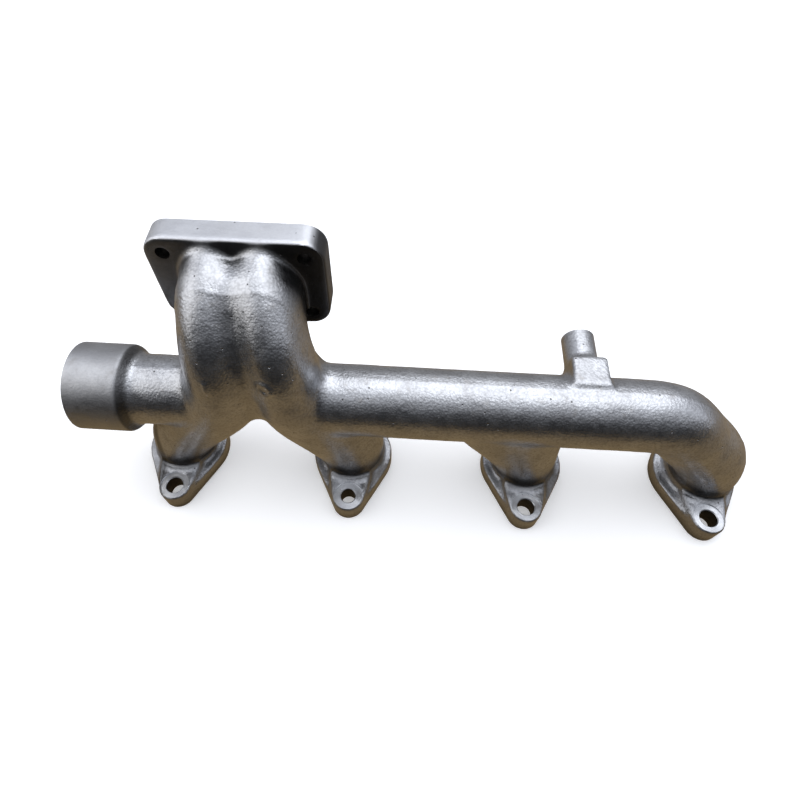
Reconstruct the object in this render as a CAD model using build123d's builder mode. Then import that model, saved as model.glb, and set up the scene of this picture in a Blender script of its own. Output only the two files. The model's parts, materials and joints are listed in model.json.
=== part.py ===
"""Exhaust manifold section of an in-line diesel engine.

A hollow grey-iron casting with four head flanges, a log, a divided riser to the turbocharger
flange, and a slip-joint collar that holds two packs of split sealing rings.

Frame: origin at the centre of port 2 on the cylinder-head face, +X along the log away from the
slip joint, +Y towards the turbocharger flange, +Z away from the cylinder head. Millimetres.
"""
import os

from build123d import *

# Head ports and the log
port_pitch = 130.0
port_outer_radius = 23.0
log_height = 85.5
log_radius = 23.7
wall = 5.0

# The elbow at the far end of the log, as (distance short of port 4, height above the head face)
elbow_start_run = 64.0
elbow_points = ((27.0, 64.0), (3.0, 37.0), (-2.5, 18.0))

# Head flanges: a round middle with a bolt lug on each side
lug_spacing = 78.0
lug_radius = 11.8
flange_radius = 30.0
flange_thickness = 10.5
lug_thickness = 15.4
lug_root_width = 31.0
lug_root_y = 20.5
spot_face_radius = 10.5
spot_face_depth = 1.0
clearance_hole_radius = 6.2
locating_hole_radius = 5.3

# Turbocharger flange
turbo_x = -65.0
turbo_z = 153.0
turbo_width = 105.0
turbo_height = 66.0
turbo_thickness = 16.5
turbo_underside_y = 35.7
turbo_corner_radius = 13.0
turbo_hole_spacing_x = 82.0
turbo_hole_spacing_z = 44.0
turbo_edge_break = 1.5

# Every branch starts straight and round; a plain one then widens where it leans into the log
straight_height = 16.0
branch_middle_height = 60.0
branch_middle_lean = 19.0
branch_middle_half_width = 39.0
branch_middle_half_depth = 22.0
branch_end_lean = 24.0
branch_end_half_width = 46.0
branch_end_half_depth = 21.0

# The divided riser: a pipe from port 1 and a pipe from port 2 lean towards each other at the
# knee, run side by side from the waist up, and close up round the bend to the flange
riser_x = -58.5
knee_height = 58.0
knee_leans = (25.5, -18.0)
knee_half_widths = (33.5, 36.0)
knee_half_depth = 23.5
waist_height = 90.0
waist_spread = 27.0
waist_half_width = 28.0
waist_half_depth = 27.5
bend_height = 115.0
bend_spread = 20.0
bend_half_width = 21.0
riser_half_depth = 27.0
bend_fullness = 1.15
riser_end_spread = 15.5
riser_end_half_width = 17.5

# The log's passages stop this far short of the middle of the riser, either side of its divider
divider_clearance = 20.0

# Slip-joint collar: its socket and the two grooves in it
collar_mouth_x = -178.5
collar_radius = 29.5
collar_length = 34.0
collar_taper = 6.5
socket_radius = 23.0
socket_depth = 30.0
socket_lead_in = 1.2
groove_radius = 25.7
groove_starts = (5.9, 16.8)
groove_width = 6.25

# Sealing rings, sprung open to the size of the pipe that they grip
rings_per_groove = 3
ring_thickness = 2.0
ring_inner_radius = 23.03
ring_outer_radius = 25.62
ring_end_gap = 1.4
ring_gap_stagger = 120.0
groove_gap_stagger = 60.0

# Bracket boss on the turbocharger side of the log
boss_x = 153.0
boss_z = 98.0
boss_radius = 10.8
boss_end_y = 51.0
block_x = 154.0
block_width = 23.0
block_near_y = 4.5
block_far_y = 26.5
block_top_z = 112.0

# Threads are cut to their tapping size: M10 x 1.5
tapping_radius = 4.25
boss_tapping_depth = 22.0

# Worked out from the driving dimensions
port_x = [port_pitch * number for number in (-1, 0, 1, 2)]
riser_sides = (-1, 1)
collar_inner_x = collar_mouth_x + collar_length
near_log_end_x = riser_x - divider_clearance
far_log_start_x = riser_x + divider_clearance
groove_x = [collar_mouth_x + start for start in groove_starts]
turbo_underside = Plane(origin=(turbo_x, turbo_underside_y, turbo_z), x_dir=(1, 0, 0), z_dir=(0, 1, 0))
ring_clearance = (groove_width - rings_per_groove * ring_thickness) / (rings_per_groove + 1)


def across_log(x):
    """The plane square to the log at x, centred on the log's axis."""
    return Plane(origin=(x, 0, log_height), x_dir=(0, 1, 0), z_dir=(1, 0, 0))


def oval(x, y, z, half_width, half_depth, tilt=0):
    """An oval profile, level with the head face or tilted about X towards the turbo flange."""
    plane = Plane(origin=(x, y, z), x_dir=(1, 0, 0), z_dir=Vector(0, 0, 1).rotate(Axis.X, -tilt))
    with BuildSketch(plane) as profile:
        Ellipse(half_width, half_depth)
    return profile.sketch


def branch_root(x, inset):
    """The profiles of the straight, round start of the branch at x."""
    radius = port_outer_radius - inset
    return [oval(x, 0, 0, radius, radius), oval(x, 0, straight_height, radius, radius)]


def plain_branch(x, inset):
    """The profiles of a branch that leans towards the riser and ends inside the log.

    inset is 0 for the outside of the casting and the wall thickness for the gas passage.
    """
    middle_half_width = branch_middle_half_width - inset
    middle_half_depth = branch_middle_half_depth - inset
    end_half_width = branch_end_half_width - inset
    end_half_depth = branch_end_half_depth - inset
    return branch_root(x, inset) + [
        oval(x - branch_middle_lean, 0, branch_middle_height, middle_half_width, middle_half_depth),
        oval(x - branch_end_lean, 0, log_height, end_half_width, end_half_depth),
    ]


def riser_foot(pipe, inset):
    """The profiles of one riser pipe, 0 from port 1 or 1 from port 2, up to where it bends."""
    side = riser_sides[pipe]
    knee_x = port_x[pipe] + knee_leans[pipe]
    knee_half_width = knee_half_widths[pipe] - inset
    waist_x = riser_x + side * waist_spread
    bend_x = riser_x + side * bend_spread
    return branch_root(port_x[pipe], inset) + [
        oval(knee_x, 0, knee_height, knee_half_width, knee_half_depth - inset),
        oval(waist_x, 0, waist_height, waist_half_width - inset, waist_half_depth - inset),
        oval(bend_x, 0, bend_height, bend_half_width - inset, riser_half_depth - inset),
    ]


def riser_end(pipe, inset):
    """The profile of one riser pipe where it meets the turbocharger flange."""
    x = turbo_x + riser_sides[pipe] * riser_end_spread
    half_width = riser_end_half_width - inset
    half_depth = riser_half_depth - inset
    return oval(x, turbo_underside_y, turbo_z, half_width, half_depth, tilt=90)


def riser_bend(pipe):
    """The centre line of one riser pipe round its bend."""
    side = riser_sides[pipe]
    start = (riser_x + side * bend_spread, 0, bend_height)
    end = (turbo_x + side * riser_end_spread, turbo_underside_y, turbo_z)
    with BuildLine() as line:
        Spline(start, end, tangents=((0, 0, 1), (0, 1, 0)), tangent_scalars=(bend_fullness, bend_fullness))
    return line.wire()


def log_run(start_x):
    """The centre line of the log from start_x, round the elbow and down to port 4."""
    elbow_start = (port_x[3] - elbow_start_run, 0, log_height)
    between = [(port_x[3] - run, 0, height) for run, height in elbow_points]
    with BuildLine() as line:
        Line((start_x, 0, log_height), elbow_start)
        Spline(elbow_start, *between, (port_x[3], 0, 0), tangents=((1, 0, 0), (0, 0, -1)))
    return line.wire()


def head_face_at(x):
    """The head face, centred on the port at x."""
    return Plane(origin=(x, 0, 0))


# The two separate gas passages, as the sand cores that leave them
with BuildPart() as gas_passages:
    for pipe in range(2):
        foot = riser_foot(pipe, wall)
        loft(sections=foot)
        sweep(sections=[foot[-1], riser_end(pipe, wall)], path=riser_bend(pipe), multisection=True)
        extrude(riser_end(pipe, wall), amount=turbo_thickness)
    loft(sections=plain_branch(port_x[2], wall))
    with BuildSketch(across_log(collar_mouth_x)):
        Circle(log_radius - wall)
    extrude(amount=near_log_end_x - collar_mouth_x)
    with BuildSketch(across_log(far_log_start_x)):
        Circle(log_radius - wall)
    sweep(path=log_run(far_log_start_x))

with BuildPart() as manifold_casting:
    # Pipework
    for pipe in range(2):
        foot = riser_foot(pipe, 0)
        loft(sections=foot)
        sweep(sections=[foot[-1], riser_end(pipe, 0)], path=riser_bend(pipe), multisection=True)
    loft(sections=plain_branch(port_x[2], 0))
    with BuildSketch(across_log(collar_inner_x)):
        Circle(log_radius)
    extrude(amount=near_log_end_x - collar_inner_x)
    with BuildSketch(across_log(far_log_start_x)):
        Circle(log_radius)
    sweep(path=log_run(far_log_start_x))

    # Slip-joint collar, tapering down to the log
    with BuildSketch(across_log(collar_mouth_x)):
        Circle(collar_radius)
    extrude(amount=collar_length)
    with BuildSketch(across_log(collar_inner_x)):
        Circle(collar_radius)
    with BuildSketch(across_log(collar_inner_x + collar_taper)):
        Circle(log_radius)
    loft()

    # Head flanges, with a raised pad on each bolt lug
    for x in port_x:
        with BuildSketch(head_face_at(x)):
            Circle(flange_radius)
            with GridLocations(0, lug_spacing, 1, 2):
                Circle(lug_radius)
            make_hull()
        extrude(amount=flange_thickness)
        for side in (-1, 1):
            with BuildSketch(head_face_at(x)):
                with Locations((0, side * lug_spacing / 2)):
                    Circle(lug_radius)
                with Locations((0, side * lug_root_y)):
                    Rectangle(lug_root_width, 1)
                make_hull()
            extrude(amount=lug_thickness)

    # Turbocharger flange
    with BuildSketch(turbo_underside):
        RectangleRounded(turbo_width, turbo_height, turbo_corner_radius)
    extrude(amount=turbo_thickness)
    chamfer(faces().sort_by(Axis.Y)[-1].edges(), turbo_edge_break)

    # Bracket boss and its square shoulder
    with BuildSketch(Plane.XZ):
        with Locations((boss_x, boss_z)):
            Circle(boss_radius)
    extrude(amount=-boss_end_y)
    with BuildSketch(Plane.XY.offset(log_height)):
        with Locations((block_x, (block_near_y + block_far_y) / 2)):
            Rectangle(block_width, block_far_y - block_near_y)
    extrude(amount=block_top_z - log_height)

    # Passages, socket and ring grooves
    add(gas_passages.part, mode=Mode.SUBTRACT)
    with BuildSketch(across_log(collar_mouth_x)):
        Circle(socket_radius)
    extrude(amount=socket_depth, mode=Mode.SUBTRACT)
    chamfer(edges().filter_by(GeomType.CIRCLE).group_by(Axis.X)[0].sort_by(SortBy.RADIUS)[0], socket_lead_in)
    for x in groove_x:
        with BuildSketch(across_log(x)):
            Circle(groove_radius)
        extrude(amount=groove_width, mode=Mode.SUBTRACT)

    # Head bolt holes with their spot faces; port 2 locates the casting, so its holes fit closer
    for x in port_x:
        hole_radius = locating_hole_radius if x == 0 else clearance_hole_radius
        with Locations((x, 0, lug_thickness)):
            with GridLocations(0, lug_spacing, 1, 2):
                CounterBoreHole(hole_radius, spot_face_radius, spot_face_depth)

    # Tapped holes for the turbocharger studs and the bracket bolt
    with Locations(turbo_underside.offset(turbo_thickness)):
        with GridLocations(turbo_hole_spacing_x, turbo_hole_spacing_z, 2, 2):
            Hole(tapping_radius, depth=turbo_thickness)
    with Locations(Plane(origin=(boss_x, boss_end_y, boss_z), z_dir=(0, 1, 0))):
        Hole(tapping_radius, depth=boss_tapping_depth)

os.makedirs("parts", exist_ok=True)
manifold_casting.part.label = "manifold_casting"
export_step(manifold_casting.part, "parts/manifold_casting.step")

# Split sealing rings, numbered from the mouth of the socket, with their gaps staggered
for number in range(len(groove_x) * rings_per_groove):
    groove, place = divmod(number, rings_per_groove)
    start_x = groove_x[groove] + ring_clearance + place * (ring_thickness + ring_clearance)
    gap_angle = ring_gap_stagger * place + groove_gap_stagger * groove
    with BuildPart() as seal_ring:
        with BuildSketch(across_log(start_x)):
            Circle(ring_outer_radius)
            Circle(ring_inner_radius, mode=Mode.SUBTRACT)
            with PolarLocations(ring_outer_radius, 1, start_angle=gap_angle):
                Rectangle(2 * ring_outer_radius, ring_end_gap, mode=Mode.SUBTRACT)
        extrude(amount=ring_thickness)
    seal_ring.part.label = f"seal_ring_{number + 1}"
    export_step(seal_ring.part, f"parts/{seal_ring.part.label}.step")
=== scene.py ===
import json
import math

import bmesh
import bpy
import numpy as np
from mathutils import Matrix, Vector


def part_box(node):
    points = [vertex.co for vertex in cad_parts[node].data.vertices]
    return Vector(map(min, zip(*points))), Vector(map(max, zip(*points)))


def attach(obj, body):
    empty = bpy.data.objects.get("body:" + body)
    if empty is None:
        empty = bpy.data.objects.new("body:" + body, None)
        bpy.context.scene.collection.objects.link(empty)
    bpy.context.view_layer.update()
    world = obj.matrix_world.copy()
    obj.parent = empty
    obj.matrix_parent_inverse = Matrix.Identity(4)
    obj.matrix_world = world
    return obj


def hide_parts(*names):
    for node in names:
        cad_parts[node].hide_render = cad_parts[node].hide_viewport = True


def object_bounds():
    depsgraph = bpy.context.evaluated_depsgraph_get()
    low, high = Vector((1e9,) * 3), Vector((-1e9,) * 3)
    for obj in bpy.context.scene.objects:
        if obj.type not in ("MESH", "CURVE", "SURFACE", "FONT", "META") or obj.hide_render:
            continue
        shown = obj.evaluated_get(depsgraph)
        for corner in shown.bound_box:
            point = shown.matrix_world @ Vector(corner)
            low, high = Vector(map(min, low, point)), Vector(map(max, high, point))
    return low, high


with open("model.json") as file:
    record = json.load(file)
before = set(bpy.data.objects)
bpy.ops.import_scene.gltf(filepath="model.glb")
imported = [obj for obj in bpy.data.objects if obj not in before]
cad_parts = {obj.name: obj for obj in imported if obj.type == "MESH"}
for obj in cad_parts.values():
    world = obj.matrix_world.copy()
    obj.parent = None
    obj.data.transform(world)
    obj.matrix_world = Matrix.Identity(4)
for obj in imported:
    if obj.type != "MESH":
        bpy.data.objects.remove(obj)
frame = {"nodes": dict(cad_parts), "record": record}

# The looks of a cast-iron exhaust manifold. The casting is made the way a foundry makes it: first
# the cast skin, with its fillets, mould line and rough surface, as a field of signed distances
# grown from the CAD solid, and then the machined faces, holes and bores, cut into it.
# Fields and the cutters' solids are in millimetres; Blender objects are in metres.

import openvdb
from mathutils import Matrix, Vector

cad_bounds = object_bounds()
MM = 1000.0
rng = np.random.default_rng(7)

# ---------------------------------------------------------------- places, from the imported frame

mounts = {mount["name"]: mount for mount in frame["record"]["mounts"]}


def mount_place(name):
    """A mount's place in millimetres."""
    return np.array(mounts[name]["pos_m"]) * MM


port_names = ["port_1", "port_2", "port_3", "port_4"]
port_x = [mount_place(f"{name}_bolts")[0] for name in port_names]
head_hole_radii = [mounts[f"{name}_bolts"]["dims"]["hole_r_mm"] for name in port_names]
lug_y = mounts["port_1_bolts"]["dims"]["spacing_y_mm"] / 2
turbo_x, turbo_face_y, turbo_z = mount_place("turbo_bolts")
turbo_dims = mounts["turbo_bolts"]["dims"]
boss_x, _, boss_z = mount_place("bracket_thread")
boss_hole_radius = mounts["bracket_thread"]["dims"]["r_mm"]
boss_hole_depth = mounts["bracket_thread"]["dims"]["length_mm"]
socket_radius = mounts["slip_socket"]["dims"]["r_mm"]
log_z = mount_place("slip_socket")[2]
mouth_x = cad_bounds[0].x * MM
ring_boxes = [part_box(f"seal_ring_{number}") for number in range(1, 7)]

# Sizes that the frame's record doesn't state
lug_top_z = 15.4
spot_face_z = 14.4
spot_face_radius = 10.5
turbo_back_y = turbo_face_y - 16.5
boss_end_y = 51.0
collar_end_x = mouth_x + 34.0
socket_depth = 30.0
socket_wall_radius = 28.0
socket_lead_in = 1.2
groove_radius = 25.7
groove_side_gap = 0.06
port_radius = 23.0

# ---------------------------------------------------------------- fields of signed distances

voxel = 1.25
coarse_voxel = 2 * voxel
edge_margin = 3


def mesh_arrays(thing):
    """A mesh object's points in millimetres and its triangles."""
    mesh = thing.data
    mesh.calc_loop_triangles()
    points = np.empty(len(mesh.vertices) * 3, np.float32)
    mesh.vertices.foreach_get("co", points)
    triangles = np.empty(len(mesh.loop_triangles) * 3, np.int32)
    mesh.loop_triangles.foreach_get("vertices", triangles)
    return points.reshape(-1, 3) * np.float32(MM), triangles.reshape(-1, 3).astype(np.uint32)


def level_set(points, triangles, quads, spacing, outside, inside):
    """A narrow band of signed distances round a closed mesh, reaching outside and inside it in mm."""
    return openvdb.FloatGrid.createLevelSetFromPolygons(
        points,
        triangles=triangles,
        quads=quads,
        transform=openvdb.createLinearTransform(spacing),
        exBandWidth=outside / spacing + 1,
        inBandWidth=inside / spacing + 1,
    )


low_cell = np.floor(np.array(cad_bounds[0]) * MM / coarse_voxel).astype(int) - edge_margin
high_cell = np.ceil(np.array(cad_bounds[1]) * MM / coarse_voxel).astype(int) + edge_margin
coarse_shape = tuple(high_cell - low_cell + 1)
fine_shape = tuple(2 * size - 1 for size in coarse_shape)


def dense(grid, shape, first_cell):
    """A level set as a plain array."""
    field = np.zeros(shape, np.float32)
    grid.copyToArray(field, ijk=tuple(int(cell) for cell in first_cell))
    return field


def closed(grid, radius, spacing, reach):
    """The level set with every hollow edge filled to a fillet of this radius."""
    points, triangles, quads = grid.convertToPolygons(isovalue=radius, adaptivity=0.0)
    return level_set(points, triangles if len(triangles) else None, quads, spacing, reach, radius + reach)


def doubled(field):
    """A coarse field on the fine grid, whose cells are half as far apart."""
    for axis in range(3):
        field = np.moveaxis(field, axis, 0)
        finer = np.empty((2 * len(field) - 1,) + field.shape[1:], np.float32)
        finer[0::2] = field
        finer[1::2] = (field[:-1] + field[1:]) / 2
        field = np.moveaxis(finer, 0, axis)
    return field


def softened(field, passes):
    """The field smoothed by this many small passes along each axis."""
    for _ in range(passes):
        for axis in range(3):
            moved = np.moveaxis(field, axis, 0)
            result = moved.copy()
            result[1:-1] = (moved[:-2] + 2 * moved[1:-1] + moved[2:]) / 4
            field = np.moveaxis(result, 0, axis)
    return field


def smooth_min(first, second, reach):
    """The union of two fields, with a fillet that starts where they come within reach."""
    share = np.clip(0.5 + 0.5 * (second - first) / reach, 0, 1)
    return second + (first - second) * share - reach * share * (1 - share)


def step(start, end, value):
    """0 at start, 1 at end, and a smooth rise between them."""
    t = np.clip((value - start) / (end - start), 0, 1)
    return t * t * (3 - 2 * t)


def between(value, rise, fall):
    """1 between two edges, with a smooth rise over the first span and a smooth fall over the second."""
    return step(rise[0], rise[1], value) * step(fall[1], fall[0], value)


axes = [
    (2 * low_cell[axis] + np.arange(fine_shape[axis])).astype(np.float32) * np.float32(voxel)
    for axis in range(3)
]
X, Y, Z = np.meshgrid(*axes, indexing="ij", sparse=True)


def window(low, high):
    """The slices of the fine grid between two corners."""
    return tuple(
        slice(int(np.searchsorted(axes[axis], low[axis])), int(np.searchsorted(axes[axis], high[axis])))
        for axis in range(3)
    )


def local(part):
    """The coordinates inside a window of the fine grid."""
    return X[part[0]], Y[:, part[1]], Z[:, :, part[2]]


def blend_in(field, low, high, shape, reach):
    """Adds a shape to the field, with a fillet. shape gives its distance at x, y, z."""
    part = window(low, high)
    field[part] = smooth_min(field[part], shape(*local(part)), reach)


def rounded_box(x, y, z, low, high, radius):
    """The distance to a box with rounded edges."""
    outside = 0
    inside = -1e9
    for value, start, end in zip((x, y, z), low, high):
        over = np.abs(value - (start + end) / 2) - ((end - start) / 2 - radius)
        outside = outside + np.maximum(over, 0) ** 2
        inside = np.maximum(inside, over)
    return np.sqrt(outside) + np.minimum(inside, 0) - radius


# ---------------------------------------------------------------- the cast skin

fine_fillet = 3.0
pipe_fillet = 5.0
riser_fillet = 9.0


def filleted_casting():
    """The CAD casting with foundry fillets: small at the flanges, larger between the pipes."""
    points, triangles = mesh_arrays(frame["nodes"]["manifold_casting"])
    fine = level_set(points, triangles, None, voxel, fine_fillet + 2, 5)
    fine = closed(fine, fine_fillet, voxel, 5)
    field = dense(fine, fine_shape, 2 * low_cell) + fine_fillet

    coarse = level_set(points, triangles, None, coarse_voxel, riser_fillet + 3, 5)
    pipes, riser = [
        doubled(dense(closed(coarse, radius, coarse_voxel, 6), coarse_shape, low_cell)) + radius
        for radius in (pipe_fillet, riser_fillet)
    ]
    riser_foot = between(X, (turbo_x - 60, turbo_x - 47), (turbo_x + 19, turbo_x + 31))
    riser_foot = riser_foot * step(50, 62, Z) * step(30, 20, Y)
    large = pipes + (riser - pipes) * riser_foot

    # The large fillets stay away from the head flanges, the collar and the boss.
    head_flanges = step(26, 18, Z)
    collar = step(collar_end_x + 16.5, collar_end_x + 6.5, X)
    by_the_boss = between(X, (boss_x - 17, boss_x - 13), (boss_x + 15, boss_x + 19))
    by_the_boss = by_the_boss * step(0, 4, Y) * step(88, 94, Z)
    small_only = np.maximum(np.maximum(head_flanges, collar), by_the_boss)
    out_of_reach = 6
    large = large + 0.25 + out_of_reach * small_only
    return smooth_min(field, large, 1.0)


def outside_air():
    """1 in the air round the casting, 0 in its passages, fading across the metal between them.

    The air spreads in from one end of the grid, with every opening of the passages stopped up.
    """
    points, triangles = mesh_arrays(frame["nodes"]["manifold_casting"])
    coarse = dense(level_set(points, triangles, None, coarse_voxel, 5, 5), coarse_shape, low_cell)
    x, y, z = [values[::2] for values in axes]
    x, y, z = np.meshgrid(x, y, z, indexing="ij", sparse=True)
    air = coarse > 0
    openings = [(z < 4) & ((x - centre) ** 2 + y**2 < port_radius**2) for centre in port_x]
    openings.append((y > turbo_back_y + 1.3) & (np.abs(x - turbo_x) < 40) & (np.abs(z - turbo_z) < 30))
    openings.append((x < mouth_x + socket_depth) & (y**2 + (z - log_z) ** 2 < socket_wall_radius**2))
    for opening in openings:
        air &= ~opening
    reached = np.zeros_like(air)
    reached[0] = True
    count = -1
    while reached.sum() != count:
        count = reached.sum()
        for _ in range(8):
            grown = reached.copy()
            for axis in range(3):
                source, target = np.moveaxis(reached, axis, 0), np.moveaxis(grown, axis, 0)
                target[1:] |= source[:-1]
                target[:-1] |= source[1:]
            reached = grown & air
    return doubled(softened(reached.astype(np.float32), 2))


def grain(size, passes):
    """Random bumps on the fine grid with a spread of 1; size is how many cells apart they start."""
    small = rng.standard_normal([length // size + 2 for length in fine_shape]).astype(np.float32)
    while size > 1:
        small = doubled(small)
        size //= 2
    small = softened(small[: fine_shape[0], : fine_shape[1], : fine_shape[2]], passes)
    return small / small.std()


def shoulders(x, y, z):
    """The squarer shape that the two riser pipes share just before the turbo flange."""
    low = (turbo_x - 32.5, 2, turbo_z - 33)
    high = (turbo_x + 40, 40, turbo_z + 21.5)
    return rounded_box(x, y, z, low, high, 20)


def soften_riser_top(field, air):
    """Smooths the outside of the riser where its two pipes and their shared shoulders run together.

    The passages are counted as metal meanwhile, so that the thin wall is not smoothed away.
    """
    part = window((turbo_x - 49, -40, 96), (turbo_x + 61, 38, 190))
    x, y, z = local(part)
    share = step(98, 114, z) * step(turbo_back_y - 2, turbo_back_y - 8, y)
    passage_side = air[part] < 0.5
    deep_metal = np.float32(-4)
    filled = np.where(passage_side, deep_metal, field[part])
    outside = filled + (softened(filled, 14) - filled) * share
    field[part] = np.where(passage_side, np.maximum(field[part], outside), outside)


def lug_lips(field):
    """The raised lip on each bolt lug, curved round the foot of the pipe."""
    curve_radius, half_width, thickness = 27.0, 12.5, 1.5
    for centre in port_x:
        def lip(x, y, z):
            across = np.sqrt((x - centre) ** 2 + y**2) - curve_radius
            ends = np.maximum(np.abs(x - centre) - half_width, 0)
            return np.sqrt(across**2 + (z - lug_top_z + 0.3) ** 2 + ends**2) - thickness

        for near_y, far_y in ((-33, -20), (20, 33)):
            low = (centre - 17, near_y, lug_top_z - 4)
            high = (centre + 17, far_y, lug_top_z + 6)
            blend_in(field, low, high, lip, 1.2)


def cast_marks(field):
    """Two plain raised foundry marks on the front of the riser: a short bar and a ring.

    Each is a column along Y that stands mark_height proud of the skin round it.
    """
    mark_height = 0.9
    bar_x, ring_x, marks_z = turbo_x - 14, turbo_x + 20, 129.0
    bar_half_length, bar_half_width = 3.5, 1.3
    ring_radius, ring_half_width = 4.0, 1.1

    def bar(x, z):
        along = np.clip(z - marks_z, -bar_half_length, bar_half_length)
        return np.sqrt((x - bar_x) ** 2 + (z - marks_z - along) ** 2) - bar_half_width

    def ring(x, z):
        return np.abs(np.sqrt((x - ring_x) ** 2 + (z - marks_z) ** 2) - ring_radius) - ring_half_width

    for centre, shape in ((bar_x, bar), (ring_x, ring)):
        part = window((centre - 8, -36, marks_z - 9), (centre + 8, -8, marks_z + 9))
        x, y, z = local(part)
        field[part] -= mark_height * step(0.8, -0.6, shape(x, z))


def cast_skin():
    """The whole cast surface as a field, before any machining."""
    field = filleted_casting()
    air = outside_air()
    blend_in(field, (turbo_x - 43, -12, 112), (turbo_x + 51, 44, 184), shoulders, 8.0)
    soften_riser_top(field, air)
    lug_lips(field)
    field = softened(field, 1)
    cast_marks(field)

    # The mould line runs along the log and leans back with the riser.
    line_y = 9.5 * step(100, 150, Z)
    line_width, line_height = 1.1, 0.3
    mould_line = np.exp(-(((Y - line_y) / line_width) ** 2)) * line_height * step(30, 45, Z)
    mould_line = mould_line * step(collar_end_x + 2.5, collar_end_x + 6.5, X)
    pebbles = 0.03 * grain(2, 0)
    waves = 0.035 * grain(8, 2)
    collar = step(collar_end_x + 4.5, collar_end_x + 0.5, X)
    turbo_flange = step(turbo_back_y - 2, turbo_back_y, Y)
    roughness = 1 - 0.85 * np.maximum(collar, turbo_flange)
    outside = step(0.12, 0.4, air)
    field -= outside * (mould_line + (pebbles + waves) * roughness)
    return field


# ---------------------------------------------------------------- metal left on for machining


def turbo_hole_places():
    """The x and z of the four bolt holes in the turbo flange."""
    half_x, half_z = turbo_dims["spacing_x_mm"] / 2, turbo_dims["spacing_y_mm"] / 2
    return [(turbo_x + side * half_x, turbo_z + level * half_z) for side in (-1, 1) for level in (-1, 1)]


def pillar(first, second, radius):
    """The distance to a round pillar, from the two coordinates across it, measured from its axis."""
    return np.sqrt(first**2 + second**2) - radius


def fill(field, low, high, shape):
    """Adds a shape to the field, with a sharp edge. shape gives its distance at x, y, z."""
    part = window(low, high)
    field[part] = np.minimum(field[part], shape(*local(part)))


def plug_holes(field):
    """Fills the drilled holes, so that the drills_cutter can cut them with clean edges."""
    for centre in port_x:
        for lug in (-lug_y, lug_y):
            def lug_plug(x, y, z):
                return np.maximum(pillar(x - centre, y - lug, 8.2), z - lug_top_z + 0.2)

            fill(field, (centre - 12, lug - 12, -10), (centre + 12, lug + 12, 20), lug_plug)

    for hole_x, hole_z in turbo_hole_places():
        def turbo_plug(x, y, z):
            return np.maximum(pillar(x - hole_x, z - hole_z, 6.2), turbo_back_y + 3.3 - y)

        fill(field, (hole_x - 7, 30, hole_z - 7), (hole_x + 7, 60, hole_z + 7), turbo_plug)

    def boss_plug(x, y, z):
        return np.maximum(pillar(x - boss_x, z - boss_z, 7), y - boss_end_y + 1)

    fill(field, (boss_x - 8, 20, boss_z - 8), (boss_x + 8, 60, boss_z + 8), boss_plug)


def line_socket(field):
    """The field with the collar's socket lined, to be bored to size together with its grooves."""
    from_axis = np.sqrt(Y**2 + (Z - log_z) ** 2)
    lining = np.maximum(from_axis - socket_wall_radius, 20.5 - from_axis)
    return np.minimum(field, np.maximum(lining, X - (mouth_x + socket_depth - 2)))


def run_on(field, low, high, last_y):
    """Repeats the field's slice at last_y outwards along +Y, between two corners."""
    cell = int(np.searchsorted(axes[1], last_y))
    across, _, up = window(low, high)
    field[across, cell:, up] = field[across, cell : cell + 1, up]


def with_machining_stock(field):
    """The field with its holes filled, and with faces that run on past their finished planes."""
    plug_holes(field)
    field = line_socket(field)
    floor_cell = int(np.searchsorted(axes[2], 2.6))
    field[:, :, :floor_cell] = field[:, :, floor_cell : floor_cell + 1]
    run_on(field, (turbo_x - 60, 0, turbo_z - 45), (turbo_x + 60, 1, turbo_z + 45), turbo_face_y - 4.5)
    run_on(field, (boss_x - 16, 0, boss_z - 16), (boss_x + 16, 1, boss_z + 16), boss_end_y - 4)
    mouth_cell = int(np.searchsorted(axes[0], mouth_x + 4.5))
    field[:mouth_cell] = field[mouth_cell : mouth_cell + 1]
    # The grid's own border is kept outside the metal, so that the mesh closes.
    for axis in range(3):
        moved = np.moveaxis(field, axis, 0)
        moved[0] = moved[-1] = voxel
    return field


def field_mesh(name, field):
    """A mesh of the field's surface, in metres."""
    grid = openvdb.FloatGrid(4 * voxel)
    grid.copyFromArray(field, ijk=tuple(int(cell) for cell in 2 * low_cell))
    grid.transform = openvdb.createLinearTransform(voxel)
    points, triangles, quads = grid.convertToPolygons(isovalue=0.0, adaptivity=0.0)
    faces = [tuple(quad) for quad in quads.tolist()] + [tuple(triangle) for triangle in triangles.tolist()]
    mesh = bpy.data.meshes.new(name)
    mesh.from_pydata((points / MM).tolist(), [], faces)
    mesh.update()
    return mesh


# ---------------------------------------------------------------- machining

round_steps = 96


def turned(profile, place, axis):
    """A closed solid of revolution: (radius, distance along the axis) points round an axis at place."""
    turn = Vector(axis).to_track_quat("Z", "Y").to_matrix()
    solid = bmesh.new()
    rings = []
    for radius, along in profile:
        if radius == 0:
            rings.append([solid.verts.new(turn @ Vector((0, 0, along)) + Vector(place))])
            continue
        ring = []
        for number in range(round_steps):
            angle = 2 * math.pi * number / round_steps
            point = Vector((radius * math.cos(angle), radius * math.sin(angle), along))
            ring.append(solid.verts.new(turn @ point + Vector(place)))
        rings.append(ring)
    for first, second in zip(rings, rings[1:] + rings[:1]):
        if len(first) == 1 and len(second) == 1:
            continue
        for number in range(round_steps):
            after = (number + 1) % round_steps
            corners = [first[number % len(first)], first[after % len(first)]]
            corners += [second[after % len(second)], second[number % len(second)]]
            # Where a ring has shrunk to a point, the corner that it repeats is left out.
            solid.faces.new(list(dict.fromkeys(corners)))
    bmesh.ops.recalc_face_normals(solid, faces=solid.faces)
    return solid


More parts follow.
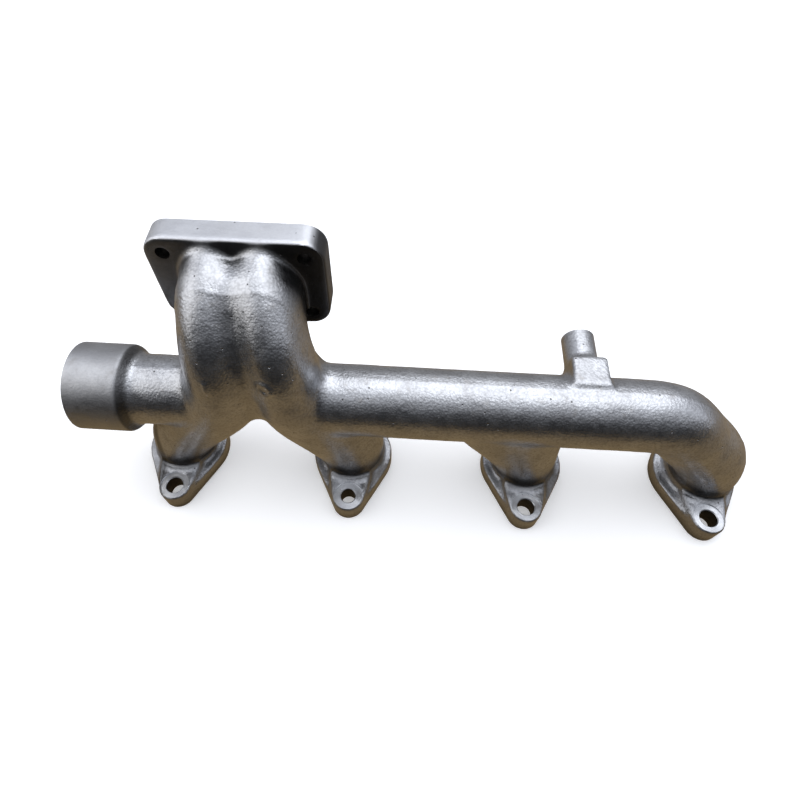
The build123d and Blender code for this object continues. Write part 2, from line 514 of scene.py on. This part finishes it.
def block(low, high):
    """A closed box between two corners."""
    solid = bmesh.new()
    middle = (Vector(low) + Vector(high)) / 2
    size = Vector(high) - Vector(low)
    bmesh.ops.create_cube(solid, size=1, matrix=Matrix.Translation(middle) @ Matrix.Diagonal((*size, 1)))
    return solid


def cutter(name, solids):
    """One object in metres that holds all these solids."""
    mesh = bpy.data.meshes.new(name)
    together = bmesh.new()
    for solid in solids:
        solid.to_mesh(mesh)
        together.from_mesh(mesh)
        solid.free()
    together.transform(Matrix.Scale(1 / MM, 4))
    together.to_mesh(mesh)
    together.free()
    tool = bpy.data.objects.new(name, mesh)
    bpy.context.scene.collection.objects.link(tool)
    return tool


def cut(piece, tool):
    """Takes the cutter away from the piece, and then removes the cutter."""
    boolean = piece.modifiers.new(tool.name, "BOOLEAN")
    boolean.operation = "DIFFERENCE"
    boolean.solver = "MANIFOLD"
    boolean.object = tool
    depsgraph = bpy.context.evaluated_depsgraph_get()
    mesh = bpy.data.meshes.new_from_object(piece.evaluated_get(depsgraph), depsgraph=depsgraph)
    piece.modifiers.clear()
    piece.data = mesh
    bpy.data.objects.remove(tool)


def faces_cutter():
    """The four milled or turned planes: head faces, turbo face, boss end and collar mouth."""
    far = 30.0
    low = np.array(cad_bounds[0]) * MM - far
    high = np.array(cad_bounds[1]) * MM + far
    above_flanges = 60
    return cutter("face_mill", [
        block((mouth_x + 1, low[1], low[2]), (high[0], high[1], 0)),
        block((turbo_x - 80, turbo_face_y, above_flanges), (turbo_x + 80, high[1], high[2])),
        block((boss_x - 25, boss_end_y, above_flanges), (boss_x + 25, high[1], high[2])),
        block((low[0], low[1], 10), (mouth_x, high[1], high[2])),
    ])


def spot_faces():
    """The flat seat round each head bolt hole, with the broken edge of the hole below it."""
    solids = []
    edge = 0.5
    above = lug_top_z + 12
    for x, radius in zip(port_x, head_hole_radii):
        profile = [
            (0, spot_face_z - edge),
            (radius, spot_face_z - edge),
            (radius + edge, spot_face_z),
            (spot_face_radius, spot_face_z),
            (spot_face_radius, above),
            (0, above),
        ]
        for side in (-1, 1):
            solids.append(turned(profile, (x, side * lug_y, 0), (0, 0, 1)))
    return solids


def hole_mouths():
    """The broken edges of the four holes in the turbo flange and of the hole in the boss."""
    depth = 0.8
    proud = 1.0
    mouths = [(place, turbo_face_y, turbo_dims["hole_r_mm"]) for place in turbo_hole_places()]
    mouths.append(((boss_x, boss_z), boss_end_y, boss_hole_radius))
    solids = []
    for (x, z), face_y, radius in mouths:
        profile = [(0, -depth), (radius, -depth), (radius + depth + proud, proud), (0, proud)]
        solids.append(turned(profile, (x, face_y, z), (0, 1, 0)))
    return solids


def bored_socket():
    """The socket with its lead-in and a groove for each group of three sealing rings."""
    outside = -3
    lead_in_radius = socket_radius + socket_lead_in - outside
    profile = [(0, outside), (lead_in_radius, outside), (socket_radius, socket_lead_in)]
    for group in (ring_boxes[:3], ring_boxes[3:]):
        start = min(box[0].x for box in group) * MM - mouth_x - groove_side_gap
        end = max(box[1].x for box in group) * MM - mouth_x + groove_side_gap
        profile += [(socket_radius, start), (groove_radius, start)]
        profile += [(groove_radius, end), (socket_radius, end)]
    profile += [(socket_radius, socket_depth), (0, socket_depth)]
    return turned(profile, (mouth_x, 0, log_z), (1, 0, 0))


def drills_cutter():
    """The drilled holes: eight for the head bolts, four at the turbo flange, one in the boss."""
    solids = []
    for x, radius in zip(port_x, head_hole_radii):
        profile = [(0, -2), (radius, -2), (radius, spot_face_z), (0, spot_face_z)]
        for side in (-1, 1):
            solids.append(turned(profile, (x, side * lug_y, 0), (0, 0, 1)))
    radius = turbo_dims["hole_r_mm"]
    through_flange = -20
    for x, z in turbo_hole_places():
        profile = [(0, through_flange), (radius, through_flange), (radius, 0), (0, 0)]
        solids.append(turned(profile, (x, turbo_face_y, z), (0, 1, 0)))
    radius = boss_hole_radius
    drill_point = 0.6 * radius
    profile = [(0, -boss_hole_depth - drill_point), (radius, -boss_hole_depth), (radius, 0), (0, 0)]
    solids.append(turned(profile, (boss_x, boss_end_y, boss_z), (0, 1, 0)))
    return cutter("drills", solids)


def clean(mesh):
    """Merges points that lie on each other and drops the slivers that the cuts leave."""
    touching = 5e-6
    work = bmesh.new()
    work.from_mesh(mesh)
    bmesh.ops.remove_doubles(work, verts=work.verts, dist=touching)
    bmesh.ops.dissolve_degenerate(work, edges=work.edges, dist=touching)
    work.to_mesh(mesh)
    work.free()


def build_casting():
    """The finished casting: the cast skin in its own metal, then each cut with the metal it bares."""
    mesh = field_mesh("manifold_casting_skin", with_machining_stock(cast_skin()))
    casting = bpy.data.objects.new("casting_finished", mesh)
    bpy.context.scene.collection.objects.link(casting)
    metals = [cast_iron(), machined_iron(), drilled_iron()]
    for metal in metals:
        casting.data.materials.append(metal)
    seats = cutter("seats", spot_faces() + hole_mouths() + [bored_socket()])
    for tool, number in ((faces_cutter(), 1), (seats, 1), (drills_cutter(), 2)):
        for metal in metals:
            tool.data.materials.append(metal)
        numbers = np.full(len(tool.data.polygons), number, np.int32)
        tool.data.polygons.foreach_set("material_index", numbers)
        cut(casting, tool)
    clean(casting.data)
    casting.data.shade_smooth()
    casting.data.set_sharp_from_angle(angle=math.radians(38))
    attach(casting, "casting")
    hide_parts("manifold_casting")


# ---------------------------------------------------------------- materials


class Nodes:
    """A short way to write a node tree: each call adds a node and returns its output."""

    def __init__(self, owner):
        owner.use_nodes = True
        self.tree = owner.node_tree
        self.tree.nodes.clear()

    def add(self, kind, inputs=None, output=0, **settings):
        """A node of this kind; inputs maps a socket's name or number to a value or an output."""
        node = self.tree.nodes.new(kind)
        for name, value in settings.items():
            setattr(node, name, value)
        for name, value in (inputs or {}).items():
            if isinstance(value, bpy.types.NodeSocket):
                self.tree.links.new(value, node.inputs[name])
            else:
                node.inputs[name].default_value = value
        return node.outputs[output] if node.outputs else node

    def place(self):
        """The point being shaded, in metres from the object's origin."""
        return self.add("ShaderNodeTexCoord", output=3)

    def xyz(self, vector):
        """The three parts of a vector."""
        return self.add("ShaderNodeSeparateXYZ", {0: vector}).node.outputs

    def math(self, operation, *values):
        """The result of a math operation on these values."""
        return self.add("ShaderNodeMath", dict(enumerate(values)), operation=operation)

    def product(self, first, *others):
        """All these values multiplied together."""
        for other in others:
            first = self.math("MULTIPLY", first, other)
        return first

    def length(self, first, second):
        """The length of the line that runs this far each way."""
        squares = self.math("ADD", self.math("POWER", first, 2.0), self.math("POWER", second, 2.0))
        return self.math("SQRT", squares)

    def noise(self, place, size_mm, detail=2.0, roughness=0.5):
        """Noise whose bumps are about size_mm across."""
        inputs = {"Vector": place, "Scale": MM / size_mm, "Detail": detail, "Roughness": roughness}
        return self.add("ShaderNodeTexNoise", inputs)

    def cells(self, place, size_mm, feature="SMOOTH_F1"):
        """Distance to the nearest of points about size_mm apart."""
        inputs = {"Vector": place, "Scale": MM / size_mm}
        return self.add("ShaderNodeTexVoronoi", inputs, feature=feature)

    def ramp(self, value, low, high):
        """value spread so that low becomes 0 and high becomes 1."""
        inputs = {0: value, 1: low, 2: high}
        return self.add("ShaderNodeMapRange", inputs, interpolation_type="SMOOTHSTEP")

    def fade(self, place, start_mm, end_mm):
        """The same for a place in metres, between two places in millimetres."""
        return self.ramp(place, start_mm / MM, end_mm / MM)

    def mix(self, share, first, second):
        """The first colour with this share of the second; each is (red, green, blue) or an output."""
        inputs = {0: share}
        for number, colour in ((6, first), (7, second)):
            inputs[number] = (*colour, 1) if isinstance(colour, tuple) else colour
        return self.add("ShaderNodeMix", inputs, output=2, data_type="RGBA")

    def bump(self, height, depth_mm, strength, under=None):
        """A normal bent by this height, on top of the bumps that are under it."""
        inputs = {"Height": height, "Distance": depth_mm / MM, "Strength": strength}
        if under is not None:
            inputs["Normal"] = under
        return self.add("ShaderNodeBump", inputs)

    def surface(self, **values):
        """The finished metal, from Principled inputs written with _ for a space."""
        inputs = {name.replace("_", " "): value for name, value in values.items()}
        shader = self.add("ShaderNodeBsdfPrincipled", inputs)
        self.add("ShaderNodeOutputMaterial", {"Surface": shader})


def new_material(name):
    """A material and the short way to write its nodes."""
    material = bpy.data.materials.new(name)
    return material, Nodes(material)


def smooth_areas(nodes, x, y):
    """Where the sand was finer: the collar, and the turbo flange."""
    collar = nodes.fade(x, collar_end_x + 4.5, collar_end_x - 1.5)
    flange = nodes.fade(y, turbo_back_y - 2.5, turbo_back_y - 0.8)
    left_of_boss = nodes.fade(x, turbo_x + 71, turbo_x + 65)
    return collar, nodes.product(flange, left_of_boss)


def darker_feet_and_recess_shade(nodes, z):
    """How much the colour is darkened: a darker band at the feet of the runners, and painted shade in
    every recess.
    """
    # A darker band on the runners, from just above the lugs to about 18 mm up.
    feet = nodes.product(
        nodes.fade(z, lug_top_z + 18.6, lug_top_z + 2.6),
        nodes.fade(z, lug_top_z + 0.2, lug_top_z + 1.8),
    )
    # Painted shade: ambient occlusion darkens the colour in every recess, where shade falls.
    openness = nodes.add("ShaderNodeAmbientOcclusion", {"Distance": 0.016}, output=1, samples=8)
    recesses = nodes.ramp(openness, 0.88, 0.42)
    return nodes.product(feet, 0.7), nodes.product(recesses, 0.9)


def shaded_sides(nodes, x, y, facing_x, facing_y, flange):
    """Where shade is painted into the colour, near black.

    That is on the back of the turbo flange, on the far side of the riser next to it, and behind the
    collar's shoulder.
    """
    flange_back = nodes.product(
        flange,
        nodes.ramp(facing_y, -0.6, -0.9),
        nodes.fade(x, turbo_x - 120, turbo_x + 5),
    )
    riser_side = nodes.product(
        nodes.ramp(facing_x, 0.25, 0.75),
        nodes.fade(x, turbo_x + 5, turbo_x + 20),
        nodes.fade(y, 4, 24),
        nodes.fade(x, turbo_x + 57, turbo_x + 52),
    )
    shoulder = nodes.product(
        nodes.fade(x, collar_end_x - 1, collar_end_x + 1),
        nodes.fade(x, collar_end_x + 7, collar_end_x + 3.5),
        0.8,
    )
    return nodes.math("MAXIMUM", nodes.math("MAXIMUM", flange_back, riser_side), shoulder)


def cast_iron():
    """Shot-blasted grey iron with a silver heat-resistant wash: pebbled, patchy, with fine pits; its
    colour also holds painted shade and a painted highlight.
    """
    material, nodes = new_material("cast_iron_silvered")
    place = nodes.place()
    x, y, z = nodes.xyz(place)
    facing_x, facing_y, _ = nodes.xyz(nodes.add("ShaderNodeTexCoord", output=1))
    collar, flange = smooth_areas(nodes, x, y)
    smooth_skin = nodes.math("MAXIMUM", collar, flange)
    rough_skin = nodes.math("MULTIPLY_ADD", smooth_skin, -0.6, 1.0)

    pebbles = nodes.cells(place, 1.3)
    grit = nodes.noise(place, 0.6, detail=3.0, roughness=0.6)
    patches = nodes.noise(place, 22.0, detail=3.0, roughness=0.6)
    stains = nodes.noise(place, 9.0, detail=4.0, roughness=0.65)
    pits = nodes.ramp(nodes.cells(place, 8.0, feature="F1"), 0.085, 0.05)
    hollows = nodes.product(nodes.ramp(pebbles, 0.25, 0.75), rough_skin, 0.4)
    worn = nodes.product(nodes.ramp(stains, 0.56, 0.74), 0.35)

    # The wash, then what lies on it or shows through it, and painted light: a painted highlight on the
    # turbo flange's rims, and painted shade in recesses and on the sides away from the light
    # Painted highlight: the turbo flange is painted lighter wherever it doesn't face -Y.
    painted_flange_highlight = nodes.product(flange, nodes.ramp(facing_y, -0.8, -0.4), 0.6)
    bare_flanges = nodes.product(nodes.fade(z, lug_top_z + 5.6, lug_top_z + 0.6), 0.35)
    darker_runner_feet, painted_recess_shade = darker_feet_and_recess_shade(nodes, z)
    # Painted shade on the back of the turbo flange, the riser's far side and behind the collar's shoulder.
    painted_side_shade = nodes.product(shaded_sides(nodes, x, y, facing_x, facing_y, flange), 0.9)
    colour = nodes.mix(nodes.ramp(patches, 0.35, 0.65), (0.44, 0.445, 0.46), (0.53, 0.54, 0.56))
    for share, coating in (
        (hollows, (0.20, 0.20, 0.21)),
        (worn, (0.27, 0.24, 0.205)),
        # painted highlight on the turbo flange's rims
        (painted_flange_highlight, (0.66, 0.67, 0.70)),
        (nodes.product(collar, 0.5), (0.32, 0.32, 0.33)),
        (bare_flanges, (0.15, 0.155, 0.17)),
        # darker band at the runners' feet
        (darker_runner_feet, (0.04, 0.037, 0.035)),
        # painted shade in the recesses
        (painted_recess_shade, (0.035, 0.032, 0.030)),
        # painted shade on the sides turned away from the light
        (painted_side_shade, (0.022, 0.021, 0.021)),
        (nodes.product(pits, 0.7), (0.07, 0.065, 0.06)),
    ):
        colour = nodes.mix(share, colour, coating)

    dullness = nodes.math("ADD", nodes.ramp(stains, 0.3, 0.7), smooth_skin)
    shine = nodes.math("MULTIPLY_ADD", dullness, 0.12, 0.28)
    normal = nodes.bump(pebbles, 0.19, nodes.product(rough_skin, 0.8))
    normal = nodes.bump(grit, 0.12, 0.6, under=normal)
    normal = nodes.bump(pits, -0.4, 0.8, under=normal)
    nodes.surface(Base_Color=colour, Metallic=0.94, Roughness=shine, Normal=normal)
    return material


def machined_iron():
    """Freshly cut grey iron: brighter and smoother, with the marks of the tool."""
    material, nodes = new_material("machined_iron")
    place = nodes.place()
    x, y, _ = nodes.xyz(place)

    # Turning marks round each head bolt: the distance to the nearest one, in the repeat of the ports
    pitch = (port_x[1] - port_x[0]) / MM
    mark_width_mm = 0.55
    across = nodes.math("PINGPONG", x, pitch / 2)
    along = nodes.math("SUBTRACT", nodes.math("ABSOLUTE", y), lug_y / MM)
    turns = nodes.product(nodes.length(across, along), 2 * math.pi * MM / mark_width_mm)

    specks = nodes.noise(place, 0.9, detail=3.0, roughness=0.6)
    patches = nodes.noise(place, 6.0, detail=3.0)
    metal = nodes.mix(nodes.ramp(patches, 0.3, 0.7), (0.47, 0.48, 0.50), (0.60, 0.61, 0.63))
    metal = nodes.mix(nodes.product(nodes.ramp(specks, 0.55, 0.75), 0.4), metal, (0.25, 0.24, 0.235))
    shine = nodes.math("MULTIPLY_ADD", patches, 0.12, 0.24)
    normal = nodes.bump(nodes.math("SINE", turns), 0.035, 0.6)
    normal = nodes.bump(specks, 0.06, 0.5, under=normal)
    nodes.surface(Base_Color=metal, Metallic=1.0, Roughness=shine, Normal=normal)
    return material


def drilled_iron():
    """The wall of a drilled hole: painted near-black in patches for the shade inside the hole, with the
    tool's spiral marks.
    """
    material, nodes = new_material("drilled_iron")
    place = nodes.place()
    shade_patches = nodes.ramp(nodes.noise(place, 2.5, detail=4.0, roughness=0.6), 0.35, 0.7)
    scratches = nodes.noise(place, 0.5, detail=2.0)
    # Painted shade: the hole walls are coloured near-black, for the shade inside the holes.
    metal = nodes.mix(shade_patches, (0.035, 0.031, 0.028), (0.012, 0.011, 0.010))
    normal = nodes.bump(scratches, 0.05, 0.6)
    nodes.surface(Base_Color=metal, Metallic=0.9, Roughness=0.6, Normal=normal)
    return material


def ring_steel():
    """Ground spring steel of the sealing rings, brushed round the ring and a little heat-tinted."""
    material, nodes = new_material("ring_spring_steel")
    place = nodes.place()
    from_axis = nodes.add("ShaderNodeMapping", {"Vector": place, "Location": (0, 0, -log_z / MM)})
    x, y, z = nodes.xyz(from_axis)
    brushed = nodes.add("ShaderNodeCombineXYZ", {0: x, 1: nodes.length(y, z)})
    lines = nodes.noise(brushed, 0.15, detail=3.0)
    tint = nodes.noise(place, 7.0, detail=3.0)
    metal = nodes.mix(nodes.ramp(tint, 0.35, 0.7), (0.52, 0.50, 0.47), (0.40, 0.35, 0.29))
    metal = nodes.mix(nodes.product(lines, 0.3), metal, (0.30, 0.29, 0.28))
    shine = nodes.math("MULTIPLY_ADD", lines, 0.16, 0.2)
    nodes.surface(Base_Color=metal, Metallic=1.0, Roughness=shine, Normal=nodes.bump(lines, 0.02, 0.5))
    return material


# ---------------------------------------------------------------- stage, light and camera


def two_views(nodes, camera_sees, metal_sees):
    """One shader for the camera and another for the metal's reflections."""
    is_camera = nodes.add("ShaderNodeLightPath")
    return nodes.add("ShaderNodeMixShader", {0: is_camera, 1: metal_sees, 2: camera_sees})


def floor():
    """A pale floor for the camera, which the metal sees as a warm one, bright only near the object."""
    size = 4.0
    below_object = 0.0004
    mesh = bpy.data.meshes.new("floor")
    corners = [(-size, -size, 0), (size, -size, 0), (size, size, 0), (-size, size, 0)]
    mesh.from_pydata(corners, [], [(0, 1, 2, 3)])
    sheet = bpy.data.objects.new("floor", mesh)
    sheet.location.z = -below_object
    bpy.context.scene.collection.objects.link(sheet)
    material, nodes = new_material("floor_pale")
    _, y, _ = nodes.xyz(nodes.place())

    # What the metal sees: tan under it, grey behind it, and the dark room on the near side
    sheen = nodes.mix(nodes.fade(y, -310, -130), (0.012, 0.011, 0.01), (0.30, 0.215, 0.115))
    sheen = nodes.mix(nodes.fade(y, 100, 320), sheen, (0.30, 0.30, 0.31))
    reflected = nodes.add("ShaderNodeEmission", {"Color": sheen, "Strength": 1.0})
    paper = nodes.add("ShaderNodeBsdfDiffuse", {"Color": (0.93, 0.93, 0.93, 1)})
    lift = nodes.add("ShaderNodeEmission", {"Color": (1, 1, 1, 1), "Strength": 0.30})
    seen = nodes.add("ShaderNodeAddShader", {0: paper, 1: lift})
    nodes.add("ShaderNodeOutputMaterial", {"Surface": two_views(nodes, seen, reflected)})
    mesh.materials.append(material)


def sky_colours(nodes, share):
    """The room's colours, from the near horizon at share 0 over the top to the far one at share 1."""
    node = nodes.add("ShaderNodeValToRGB", {0: share}).node
    stops = [
        (0.00, (0.006, 0.007, 0.008)),
        (0.10, (0.007, 0.008, 0.010)),
        (0.16, (0.020, 0.021, 0.025)),
        (0.24, (0.17, 0.175, 0.19)),
        (0.35, (0.62, 0.64, 0.69)),
        (0.46, (0.98, 1.02, 1.11)),
        (0.58, (1.08, 1.12, 1.22)),
        (0.70, (0.80, 0.83, 0.92)),
        (0.84, (0.42, 0.43, 0.46)),
        (1.00, (0.24, 0.23, 0.22)),
    ]
    elements = node.color_ramp.elements
    while len(elements) < len(stops):
        elements.new(0.5)
    for element, (place, colour) in zip(elements, stops):
        element.position = place
        element.color = (*colour, 1)
    return node.outputs[0]


def surroundings():
    """White for the camera; for the metal, a bright sky overhead and behind, dark on the near side."""
    world = bpy.data.worlds.new("studio")
    bpy.context.scene.world = world
    nodes = Nodes(world)
    direction = nodes.add("ShaderNodeTexCoord", output=0)
    _, away, up = nodes.xyz(direction)
    toward_camera = nodes.product(away, -1.0)
    half_turns = nodes.math("DIVIDE", nodes.math("ARCTAN2", up, toward_camera), math.pi)
    sky = nodes.add("ShaderNodeBackground", {"Color": sky_colours(nodes, half_turns), "Strength": 1.0})
    white = nodes.add("ShaderNodeBackground", {"Color": (1, 1, 1, 1), "Strength": 1.0})
    nodes.add("ShaderNodeOutputWorld", {"Surface": two_views(nodes, white, sky)})


def lamp(name, place, target, watts, colour):
    """A soft lamp, one metre square, at place and turned to the target."""
    data = bpy.data.lights.new(name, "AREA")
    data.shape = "SQUARE"
    data.size = 1.0
    data.energy = watts
    data.color = colour
    light = bpy.data.objects.new(name, data)
    light.location = place
    light.rotation_mode = "QUATERNION"
    light.rotation_quaternion = (Vector(target) - Vector(place)).to_track_quat("-Z", "Y")
    bpy.context.scene.collection.objects.link(light)


def camera():
    """The view from above the head-face side of the log, looking down at it."""
    azimuth, elevation, roll = math.radians(4.52), math.radians(57.91), math.radians(-0.66)
    back = Vector((
        math.sin(azimuth) * math.cos(elevation),
        -math.cos(azimuth) * math.cos(elevation),
        math.sin(elevation),
    ))
    data = bpy.data.cameras.new("camera")
    data.sensor_width = 36.0
    data.lens = 25.19
    data.shift_x = 0.0277
    data.shift_y = 0.0015
    data.clip_start = 0.01
    made = bpy.data.objects.new("camera", data)
    made.rotation_mode = "QUATERNION"
    turn = (-back).to_track_quat("-Z", "Y")
    made.rotation_quaternion = turn @ Matrix.Rotation(roll, 3, "Z").to_quaternion()
    made.location = (0.0353, -0.1971, 0.4008)
    bpy.context.scene.collection.objects.link(made)
    bpy.context.scene.camera = made


# ---------------------------------------------------------------- the scene

build_casting()
ring_metal = ring_steel()
for node_name, node in frame["nodes"].items():
    if node_name.startswith("seal_ring"):
        node.data.materials.clear()
        node.data.materials.append(ring_metal)

floor()
surroundings()
object_middle = (cad_bounds[0] + cad_bounds[1]) / 2
lamp("key", (0.25, 0.35, 0.95), object_middle, 5.0, (0.95, 0.97, 1.0))
lamp("fill", (-0.75, -0.10, 0.70), object_middle, 3.0, (1.0, 0.98, 0.95))
camera()
bpy.context.scene.view_settings.view_transform = "Standard"
